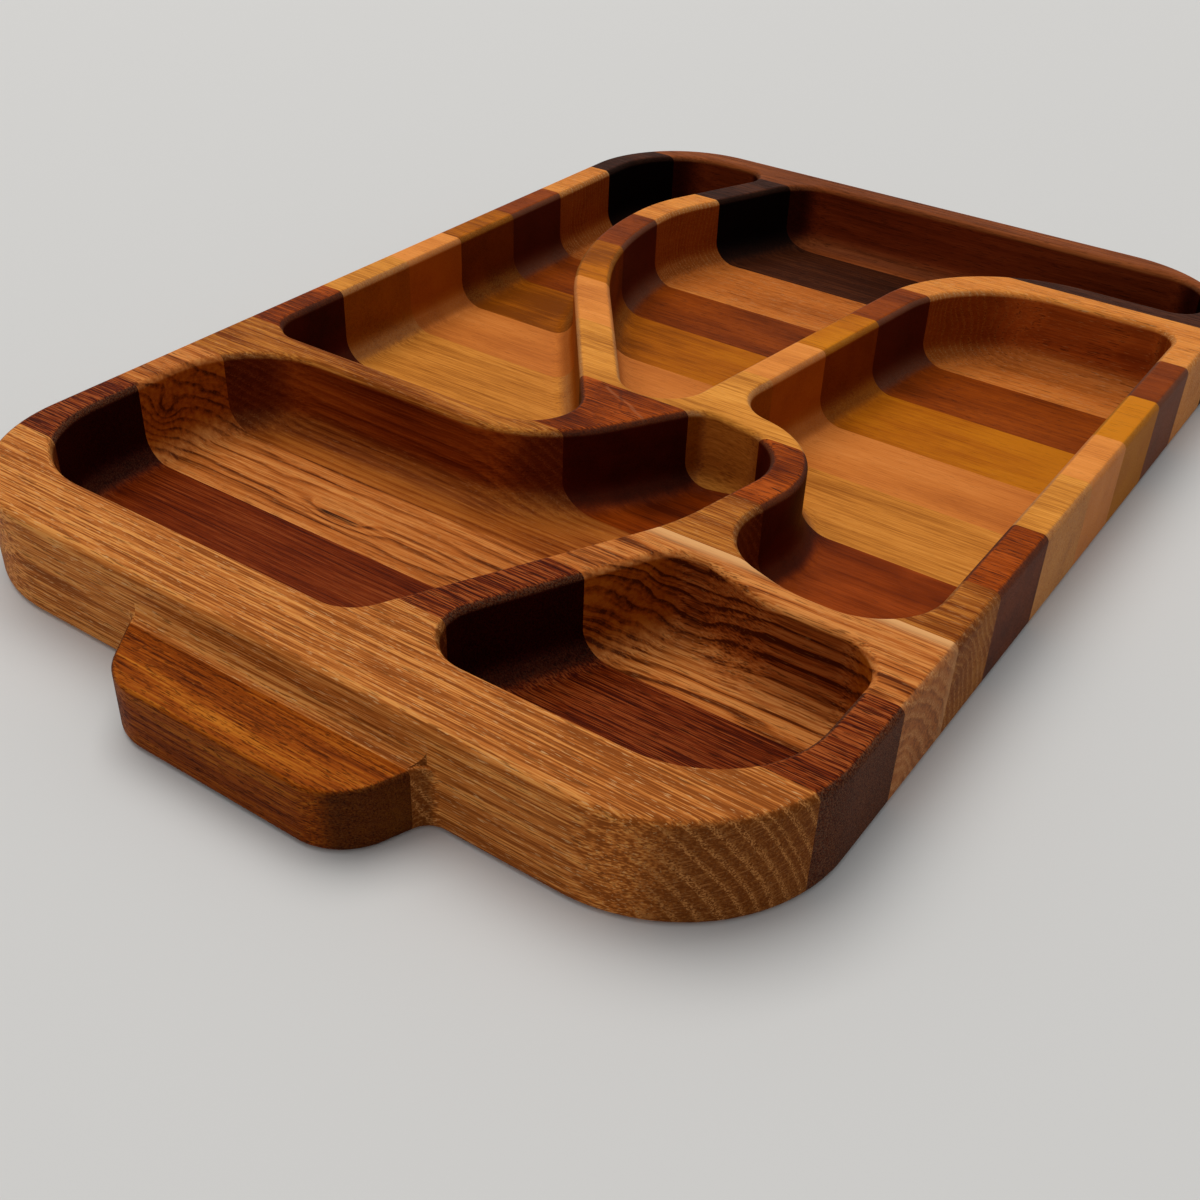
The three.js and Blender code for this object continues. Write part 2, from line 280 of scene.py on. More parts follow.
fork = fromRight(89, 115)  # turning points of the dividers
branch = fromRight(50, 102)
hook = fromRight(76.5, 182.5)
neck = fromRight(127, 191.5)
slantTop = fromRight(122, 191)
slantFoot = fromRight(157, 131)
shoulder = fromRight(108, board["length"] - 60)
sweepFoot = fromRight(130, 134)
sweepLow = fromLeft(58, 281.5)
sweepHigh = fromLeft(58, board["length"] - 81)
sweepTop = fromLeft(84.5, board["length"] - board["rimBack"])

d = dividers
forkRun = run(fromRight(134, board["rimFront"]), fork, d["fork"])
branchRun = run(branch, fork, d["branch"])
branchEndRun = run(Vector((rightWall, branch.y)), branch, d["branch"])
hookRun = run(fork, hook, d["hook"])
neckRun = run(hook, neck, d["neck"])
slantRun = run(slantTop, slantFoot)
crossRun = run(sweepFoot, Vector((leftWall, sweepFoot.y)), d["cross"])
sweepLowRun = run(sweepFoot, sweepLow, d["sweep"])
sweepMidRun = run(sweepLow, sweepHigh, d["sweep"])
sweepTopRun = run(sweepHigh, sweepTop, d["sweep"])
longRun = run(neck, shoulder, d["long"])
backRun = run(shoulder, Vector((rightWall, shoulder.y)), d["back"])

w = wells
plans = {
    "frontLeftWell": [
        corner(frontRim, w["foot"]), corner(forkRun, w["forkFlare"]), bend(hookRun, w["hookBend"]),
        corner(neckRun, w["tight"]), corner(slantRun, w["slantFlare"]), corner(crossRun, w["rim"]),
        corner(leftRim, w["rim"])],
    "frontRightWell": [
        corner(frontRim, w["rim"]), corner(rightRim, w["side"]), corner(branchEndRun, w["branchFlare"]),
        corner(branchRun, w["foot"]), corner(back(forkRun), w["side"])],
    "leftWell": [
        corner(back(crossRun), w["tip"]), bend(sweepLowRun, w["sweepLowBend"]),
        bend(sweepMidRun, w["sweepHighBend"]), corner(sweepTopRun, w["tight"]), corner(backRim, w["rim"]),
        corner(leftRim, w["foot"])],
    "backWell": [
        corner(back(sweepLowRun), w["side"]), bend(longRun, w["shoulderBend"]), corner(backRun, w["tight"]),
        corner(rightRim, w["turn"]), corner(backRim, w["turn"]),
        bend(back(sweepTopRun), w["sweepHighBend"]), bend(back(sweepMidRun), w["sweepLowBend"])],
    "rightWell": [
        corner(back(branchEndRun), w["turn"]), corner(rightRim, w["tight"]),
        bend(back(backRun), w["shoulderBend"]), corner(back(longRun), w["side"]),
        bend(back(neckRun), w["hookBend"]), corner(back(hookRun), w["turn"]),
        corner(back(branchRun), w["branchFlare"])],
}

blank = boardBlank()
stocks = [handleStock("frontStock", 0), handleStock("backStock", math.pi)]
cutters = [wellCutter(name, sides) for name, sides in plans.items()]
for stock in stocks:
    cut(blank, stock, "UNION")
for cutter in cutters:
    cut(blank, cutter, "DIFFERENCE")
carvedMesh = plainMesh(blank, "carvedBoard")
for scrap in [blank] + stocks + cutters:
    bpy.data.objects.remove(scrap)
print("stage: board carved,", len(carvedMesh.polygons), "faces")


def feed(tree, socket, value):  # a value is another node's output or a plain number
    if isinstance(value, bpy.types.NodeSocket):
        tree.links.new(value, socket)
    else:
        socket.default_value = value


def addNode(tree, kind, inputs, **settings):
    node = tree.nodes.new(kind)
    for name, value in settings.items():
        setattr(node, name, value)
    for name, value in inputs.items():
        feed(tree, node.inputs[name], value)
    return node


def addMath(tree, operation, *values):
    return addNode(tree, "ShaderNodeMath", dict(enumerate(values)), operation=operation).outputs[0]


def plus(tree, first, *others):
    for other in others:
        first = addMath(tree, "ADD", first, other)
    return first


def times(tree, first, *others):
    for other in others:
        first = addMath(tree, "MULTIPLY", first, other)
    return first


def minus(tree, a, b):
    return addMath(tree, "SUBTRACT", a, b)


def timesPlus(tree, a, b, c):
    return addMath(tree, "MULTIPLY_ADD", a, b, c)


def flipped(tree, value):  # 1 where the value is 0
    return minus(tree, 1, value)


def magnitude(tree, value):
    return addMath(tree, "ABSOLUTE", value)


def distance(tree, a, b):  # straight across a right angle with these two sides
    return addMath(tree, "SQRT", plus(tree, times(tree, a, a), times(tree, b, b)))


def ramp(tree, value, low, high):  # smooth step from 0 to 1
    inputs = {"Value": value, "From Min": low, "From Max": high}
    return addNode(tree, "ShaderNodeMapRange", inputs, interpolation_type="SMOOTHSTEP").outputs["Result"]


def vector(tree, x, y, z):
    return addNode(tree, "ShaderNodeCombineXYZ", {"X": x, "Y": y, "Z": z}).outputs[0]


slab = {"across": 0.4, "tall": 0.2}  # metres, past the board on every side


def sliceTree():  # geometry nodes: the carved board between two glue planes
    tree = bpy.data.node_groups.new("glueSlice", "GeometryNodeTree")
    given = {"Geometry": "Geometry", "Near": "Float", "Far": "Float", "Wood": "Material"}
    for name, kind in given.items():
        tree.interface.new_socket(name, in_out="INPUT", socket_type="NodeSocket" + kind)
    tree.interface.new_socket("Geometry", in_out="OUTPUT", socket_type="NodeSocketGeometry")
    start = tree.nodes.new("NodeGroupInput").outputs
    width = minus(tree, start["Far"], start["Near"])
    middle = timesPlus(tree, width, 0.5, start["Near"])
    size = vector(tree, slab["across"], width, slab["tall"])
    place = vector(tree, 0, middle, 0)
    block = addNode(tree, "GeometryNodeMeshCube", {"Size": size}).outputs["Mesh"]
    moved = addNode(tree, "GeometryNodeTransform", {"Geometry": block, "Translation": place})
    meet = addNode(tree, "GeometryNodeMeshBoolean", {}, operation="INTERSECT", solver="MANIFOLD")
    for solid in (start["Geometry"], moved.outputs["Geometry"]):
        tree.links.new(solid, meet.inputs["Mesh 2"])
    real = addNode(tree, "GeometryNodeRealizeInstances", {"Geometry": meet.outputs["Mesh"]})
    dressing = {"Geometry": real.outputs["Geometry"], "Material": start["Wood"]}
    dressed = addNode(tree, "GeometryNodeSetMaterial", dressing)
    addNode(tree, "NodeGroupOutput", {"Geometry": dressed.outputs["Geometry"]})
    return tree


glueSlice = sliceTree()
sliceItems = [item for item in glueSlice.interface.items_tree if item.in_out == "INPUT"]
sliceInput = {item.name: item.identifier for item in sliceItems}

places = {  # limits between which one kind of surface turns into the next
    "rims": (31.2, 32.4), "deep": (22, 33),  # levels in millimetres: under the rims, and down in the wells where the painted shade on the floors fades
    "skin": (-5, -4), "floorSides": (0, 60),  # behind the outer faces, and from left to right, in millimetres
    "ends": (0.25, 0.6), "flats": (0.2, 1.0),  # how far a face looks along the grain, and up or down
}

noises = {  # length along the grain and width in millimetres, step from the wood's seed, detail
    "tone": (110, 16, 3, 2), "streak": (60, 1.7, 7, 3), "line": (45, 0.55, 19, 1), "fibre": (14, 0.5, 9, 2),
    "dots": (3, 0.4, 23, 1),
}
swayNoises = {"wander": (4, 0, 1), "ripple": (3, 11, 1)}  # length over width, step from the seed, detail
markNoises = {"pore": (13, 1), "fleck": (17, 1)}  # step from the seed, detail
seedPlace = (7.31, 3.17, 5.77)  # how far one seed is from the next in the noise

growth = {  # the rings of all the woods, in parts of a ring
    "unevenSpan": 2.6, "uneven": 1.6, "unevenStep": 5,  # rings of unequal width
    "lateFrom": 0.1, "lateFull": 0.8, "lateFall": (0.86, 1.0), "early": (0.2, 0.5),
    "middle": 0.45, "ownSpan": 1.37, "own": 1.2, "ownStep": 2,  # each ring has a depth of its own
    "endLoss": 0.5,  # weaker in end grain
}

marks = {  # edges of the small marks
    "poreSoft": 0.1, "fleckSoft": 0.08, "springPores": 0.85,
    "hairSway": 3, "hairCore": 0.4, "hairFade": 2, "hairTop": (28, 31),  # in millimetres, apart from the core
    "dots": (0.46, 0.6), "raySize": (9, 0.4, 4), "rays": (0.58, 0.68), "rayShare": 0.35, "rayStep": 29,
}

shadeStops = {"pale": 0.12, "mid": 0.5, "dark": 0.9}

touch = {  # gloss and relief of the oiled wood
    "shine": 0.025, "poreRough": 0.14, "fibreRough": 0.2, "endRough": 0.1,
    "relief": 0.00015, "poreRelief": -0.8, "fibreRelief": 0.9, "lateRelief": 0.15,
}


def grainNoise(tree, place, stretch, seed, detail):  # noise drawn out by a length on each axis
    inputs = {"Vector": place, "Scale": [1 / length for length in stretch],
              "Location": [seed * step for step in seedPlace]}
    moved = addNode(tree, "ShaderNodeMapping", inputs).outputs[0]
    return addNode(tree, "ShaderNodeTexNoise", {"Vector": moved, "Scale": 1, "Detail": detail}).outputs


def alongNoise(tree, value, span, seed, detail):  # noise that changes with one value only
    return grainNoise(tree, vector(tree, value, 0, 0), (span, 1, 1), seed, detail)["Fac"]


def centred(tree, socket, gain):  # noise about zero
    return times(tree, minus(tree, socket, 0.5), gain)


def linear(code):  # hex code to a linear colour
    parts = [int(code[i:i + 2], 16) / 255 for i in (0, 2, 4)]
    return [c / 12.92 if c <= 0.04045 else ((c + 0.055) / 1.055) ** 2.4 for c in parts] + [1]


def blendColour(tree, share, base, code, mode):
    node = addNode(tree, "ShaderNodeMix", {}, data_type="RGBA", blend_type=mode)
    sockets = {socket.identifier: socket for socket in node.inputs}
    for name, value in {"Factor_Float": share, "A_Color": base, "B_Color": linear(code)}.items():
        feed(tree, sockets[name], value)
    return next(socket for socket in node.outputs if socket.identifier == "Result_Color")


def setShader(tree, inputs):
    shader = tree.nodes["Principled BSDF"]
    for name, value in inputs.items():
        feed(tree, shader.inputs[name], value)


def boardPlace(tree, s):  # where a point lies on the board and which way it faces
    coords = tree.nodes.new("ShaderNodeTexCoord").outputs["Object"]
    inMm = {"Vector": coords, "Scale": (1 / mm, 1 / mm, 1 / mm)}
    place = addNode(tree, "ShaderNodeMapping", inMm).outputs[0]
    x, y, z = addNode(tree, "ShaderNodeSeparateXYZ", {0: place}).outputs
    normal = tree.nodes.new("ShaderNodeNewGeometry").outputs["Normal"]
    facing = addNode(tree, "ShaderNodeSeparateXYZ", {0: normal}).outputs
    pastX = minus(tree, magnitude(tree, x), halfWidth - board["corner"])
    pastY = minus(tree, magnitude(tree, y), halfLength - board["corner"])
    inCorner = distance(tree, addMath(tree, "MAXIMUM", pastX, 0), addMath(tree, "MAXIMUM", pastY, 0))
    alongSide = addMath(tree, "MINIMUM", addMath(tree, "MAXIMUM", pastX, pastY), 0)
    outward = plus(tree, inCorner, alongSide, -board["corner"])  # nought on the outer faces, less behind them
    inside = flipped(tree, ramp(tree, outward, *places["skin"]))
    below = flipped(tree, ramp(tree, z, *places["rims"]))
    endGrain = ramp(tree, magnitude(tree, facing["X"]), *places["ends"])
    steep = flipped(tree, ramp(tree, magnitude(tree, facing["Z"]), *places["flats"]))
    carvedEnd = times(tree, endGrain, inside)
    cross = timesPlus(tree, carvedEnd, -s.get("swirl", 0), endGrain)  # less end grain where the grain swirls
    return {"place": place, "x": x, "y": y, "z": z, "inside": inside, "below": below, "steep": steep,
            "endGrain": endGrain, "carvedEnd": carvedEnd, "cross": cross}


def woodNoises(tree, place, s):
    kinds = dict(noises)
    kinds["tone"] = (s.get("cloud", noises["tone"][0]), *noises["tone"][1:])
    for kind, (slim, *rest) in swayNoises.items():
        kinds[kind] = (s[kind][1], s[kind][1] / slim, *rest)
    for kind, rest in markNoises.items():
        kinds[kind] = (s[kind]["length"], s[kind]["width"], *rest)
    return {kind: grainNoise(tree, place, (along, across, across), s["seed"] + step, detail)
            for kind, (along, across, step, detail) in kinds.items()}


def heartDistances(tree, at, noise, middleY, s):  # from the middle of the tree, sideways and up
    middles = (middleY, board["thickness"] / 2)
    distances = []
    for i, axis in enumerate("yz"):
        sways = []
        for kind in swayNoises:  # slow and quick sway of the grain
            channels = addNode(tree, "ShaderNodeSeparateColor", {0: noise[kind]["Color"]}).outputs
            sways.append(centred(tree, channels[i], 2 * s[kind][0]))
        lean = times(tree, at["x"], s["lean"][i])
        distances.append(plus(tree, at[axis], lean, plus(tree, *sways), -middles[i] - s["heart"][i]))
    return distances


def knotPlace(tree, at, knot):  # how far a point is from a knot, by the knot's own sizes
    off = [times(tree, minus(tree, at[axis], centre), 1 / size)
           for axis, centre, size in zip("xyz", knot["place"], knot["size"])]
    far = plus(tree, *[times(tree, part, part) for part in off])
    bulge = addMath(tree, "EXPONENT", times(tree, far, -1))
    return {**knot, "across": off[1], "far": far, "bulge": bulge}


def growthRings(tree, at, noise, middleY, s):
    g, seed = growth, s["seed"]
    fromHeart = heartDistances(tree, at, noise, middleY, s)
    radius = distance(tree, *fromHeart)
    knots = [knotPlace(tree, at, knot) for knot in s.get("knots", [])]
    for knot in knots:  # the rings run round it
        radius = timesPlus(tree, knot["bulge"], knot["swell"], radius)
    uneven = alongNoise(tree, radius, s["gap"] * g["unevenSpan"], seed + g["unevenStep"], 1)
    phase = timesPlus(tree, radius, 1 / s["gap"], centred(tree, uneven, g["uneven"]))
    inRing = addMath(tree, "FRACT", phase)
    rise = ramp(tree, inRing, s.get("lateFrom", g["lateFrom"]), g["lateFull"])
    late = minus(tree, rise, ramp(tree, inRing, *g["lateFall"]))
    early = flipped(tree, ramp(tree, inRing, *g["early"]))
    own = alongNoise(tree, addMath(tree, "FLOOR", phase), g["ownSpan"], seed + g["ownStep"], 0)
    rings = plus(tree, minus(tree, late, g["middle"]), centred(tree, own, g["own"]))
    if "figure" in s:  # bolder rings with thin lines between them, in the wells at one end
        f = s["figure"]
        bold = times(tree, ramp(tree, at["x"], *f["span"]), at["below"])
        rings = times(tree, rings, timesPlus(tree, bold, f["gain"], 1))
        thinPhase = timesPlus(tree, radius, 1 / f["gap"], centred(tree, uneven, f["uneven"]))
        between = addMath(tree, "FRACT", thinPhase)
        thin = minus(tree, ramp(tree, between, *f["rise"]), ramp(tree, between, *f["fall"]))
        thin = times(tree, thin, ramp(tree, noise["tone"]["Fac"], *f["patches"]))
        rings = timesPlus(tree, times(tree, bold, thin), f["thin"], rings)
    rings = times(tree, rings, timesPlus(tree, at["cross"], -g["endLoss"], 1))
    return {"fromHeart": fromHeart, "radius": radius, "knots": knots, "late": late, "early": early,
            "rings": rings}


def keptGrain(tree, at, s):  # the share of fine grain and pores that sanding leaves
    kept = timesPlus(tree, at["carvedEnd"], -s.get("swirl", 0), 1)
    if "floorGrain" in s:  # smoother in the wells, by a share at the left and one at the right
        left, right = s["floorGrain"]
        lost = timesPlus(tree, ramp(tree, at["x"], *places["floorSides"]), left - right, 1 - left)
        kept = times(tree, kept, flipped(tree, times(tree, at["below"], at["inside"], lost)))
    return kept


def woodShade(tree, at, noise, grain, kept, s):  # a place on the way from the pale stop to the dark one
    kinds = ("line", "fibre", "tone", "streak")
    weighed = {kind: centred(tree, noise[kind]["Fac"], s[kind]) for kind in kinds}
    fine = times(tree, plus(tree, weighed["line"], weighed["fibre"]), kept)
    rings = times(tree, grain["rings"], s["ring"])
    shade = plus(tree, shadeStops["mid"], fine, rings, weighed["tone"], weighed["streak"])
    for knot in grain["knots"]:
        shade = timesPlus(tree, knot["bulge"], knot["shade"], shade)
    if "drift" in s:  # paler towards one end
        shade = timesPlus(tree, at["x"], -s["drift"] / halfWidth, shade)
    return shade


def shadeColour(tree, shade, s):
    node = addNode(tree, "ShaderNodeValToRGB", {0: shade})
    stops = node.color_ramp.elements
    for stop, name in zip(stops, ("pale", "dark")):
        stop.position = shadeStops[name]
        stop.color = linear(s[name])
    stops.new(shadeStops["mid"]).color = linear(s["mid"])
    return node.outputs["Color"]


def poreShare(tree, noise, grain, kept, s):
    first = s["pore"]["from"]
    share = ramp(tree, noise["pore"]["Fac"], first, first + marks["poreSoft"])
    if "ringed" in s["pore"]:  # large pores, mostly in the spring wood
        spring = marks["springPores"]
        share = times(tree, share, timesPlus(tree, grain["early"], spring, 1 - spring))
    return times(tree, share, kept)


def sapwoodLayer(tree, at, noise, sap):  # a pale edge along one glue joint, fainter on the end face
    edge = plus(tree, at["y"], centred(tree, noise["wander"]["Fac"], sap["sway"]), -sap["from"])
    shown = times(tree, ramp(tree, edge, 0, sap["soft"]), ramp(tree, at["x"], *sap["start"]))
    return timesPlus(tree, times(tree, shown, at["cross"]), -sap["endLoss"], shown), sap["colour"]


def slitLayer(tree, noise, knot):  # the dark slit in a knot
    slit = knot["slit"]
    off = plus(tree, knot["across"], centred(tree, noise["streak"]["Fac"], slit["sway"]))
    thin = flipped(tree, ramp(tree, magnitude(tree, off), *slit["width"]))
    near = flipped(tree, ramp(tree, knot["far"], *slit["reach"]))
    return times(tree, thin, near), slit["colour"]


def hairLayer(tree, at, noise, hair):  # a hairline mark on the top, from its start to its end
    (ax, ay), (bx, by) = hair["start"], hair["end"]
    reach = math.hypot(bx - ax, by - ay)
    ux, uy = (bx - ax) / reach, (by - ay) / reach
    x, y = at["x"], at["y"]
    along = plus(tree, times(tree, x, ux), times(tree, y, uy), -ax * ux - ay * uy)
    sway = centred(tree, noise["ripple"]["Fac"], marks["hairSway"])
    across = plus(tree, times(tree, x, -uy), times(tree, y, ux), ax * uy - ay * ux, sway)
    core = hair["width"] * marks["hairCore"]
    mark = flipped(tree, ramp(tree, magnitude(tree, across), core, hair["width"]))
    begun = ramp(tree, along, 0, marks["hairFade"])
    unended = ramp(tree, times(tree, along, -1), -reach, marks["hairFade"] - reach)
    onTop = ramp(tree, at["z"], *marks["hairTop"])
    return times(tree, mark, begun, unended, onTop, hair["amount"]), hair["colour"]


def endLayers(tree, at, noise, grain, s):  # end grain: a dark cut with open pores
    dots = ramp(tree, noise["dots"]["Fac"], *marks["dots"])
    if "ringed" in s["pore"]:  # pores in rows, crossed by thin rays
        sideways, up = grain["fromHeart"]
        around = times(tree, addMath(tree, "ARCTAN2", up, sideways), abs(s["heart"][0]))
        rayPlace = vector(tree, grain["radius"], around, at["x"])
        rayNoise = grainNoise(tree, rayPlace, marks["raySize"], s["seed"] + marks["rayStep"], 1)["Fac"]
        rays = times(tree, ramp(tree, rayNoise, *marks["rays"]), marks["rayShare"])
        dots = addMath(tree, "MAXIMUM", times(tree, dots, grain["early"]), rays)
    end = s["endGrain"]
    return [(times(tree, at["cross"], end["amount"]), end["colour"]),
            (times(tree, at["cross"], dots, end["speckle"]), end["specks"])]


def markLayers(tree, at, noise, grain, pore, s):  # shares and colours, in the order they are laid on
    first = s["fleck"]["from"]
    fleck = ramp(tree, noise["fleck"]["Fac"], first, first + marks["fleckSoft"])
    layers = [(times(tree, pore, s["pore"]["amount"]), s["pore"]["colour"]),
              (times(tree, fleck, s["fleck"]["amount"]), s["fleck"]["colour"])]
    if "sapwood" in s:
        layers.append(sapwoodLayer(tree, at, noise, s["sapwood"]))
    layers += [slitLayer(tree, noise, knot) for knot in grain["knots"] if "slit" in knot]
    layers += [hairLayer(tree, at, noise, hair) for hair in s.get("hairlines", [])]
    return layers + endLayers(tree, at, noise, grain, s)


def paintedShadeLayers(tree, at, s):  # painted shade, by shares and colours: on the outer upright faces, and on the walls and deep floors in the wells
    layers = []
    if "outer" in s:  # painted shade: the outer upright faces darker than the top
        outer = timesPlus(tree, at["steep"], times(tree, at["inside"], -1), at["steep"])
        layers.append((outer, s["outer"]))
    wall = s["wall"]
    deep = times(tree, flipped(tree, ramp(tree, at["z"], *places["deep"])), wall["floor"])
    paintedWellShade = times(tree, addMath(tree, "MAXIMUM", at["steep"], deep), at["below"], at["inside"])
    layers.append((paintedWellShade, wall["side"]))  # painted shade on the carved walls and deep floors in the wells, darkest on their end grain
    layers.append((times(tree, paintedWellShade, at["endGrain"]), wall["end"]))
    return layers


def woodMaterial(name, middleY, s):
    material = bpy.data.materials.new(name)
    material.use_nodes = True
    tree = material.node_tree
    at = boardPlace(tree, s)
    noise = woodNoises(tree, at["place"], s)
    grain = growthRings(tree, at, noise, middleY, s)
    kept = keptGrain(tree, at, s)
    pore = poreShare(tree, noise, grain, kept, s)
    colour = shadeColour(tree, woodShade(tree, at, noise, grain, kept, s), s)
    for share, code in markLayers(tree, at, noise, grain, pore, s):
        colour = blendColour(tree, share, colour, code, "MIX")
    # painted shade laid over the wood's colour
    for share, code in paintedShadeLayers(tree, at, s):
        colour = blendColour(tree, share, colour, code, "MULTIPLY")
    fibre = noise["fibre"]["Fac"]
    rough = plus(tree, s["rough"], times(tree, pore, touch["poreRough"]),
                 centred(tree, fibre, touch["fibreRough"]), times(tree, at["endGrain"], touch["endRough"]))
    height = plus(tree, times(tree, pore, touch["poreRelief"]), centred(tree, fibre, touch["fibreRelief"]),
                  times(tree, grain["late"], touch["lateRelief"]))
    relief = {"Strength": s["bump"], "Distance": touch["relief"], "Height": height}
    bump = addNode(tree, "ShaderNodeBump", relief).outputs["Normal"]
    setShader(tree, {"Base Color": colour, "Roughness": rough, "Normal": bump,
                     "Specular IOR Level": touch["shine"]})
    return material


oakPores = {"length": 7, "width": 0.42, "from": 0.55, "amount": 0.7, "colour": "6d3c17", "ringed": True}
oakFlecks = {"length": 4.0, "width": 0.36, "from": 0.63, "amount": 0.7, "colour": "d9a56c"}
denseFlecks = {"length": 4, "width": 0.4, "from": 0.7, "amount": 0.25, "colour": "b0673a"}
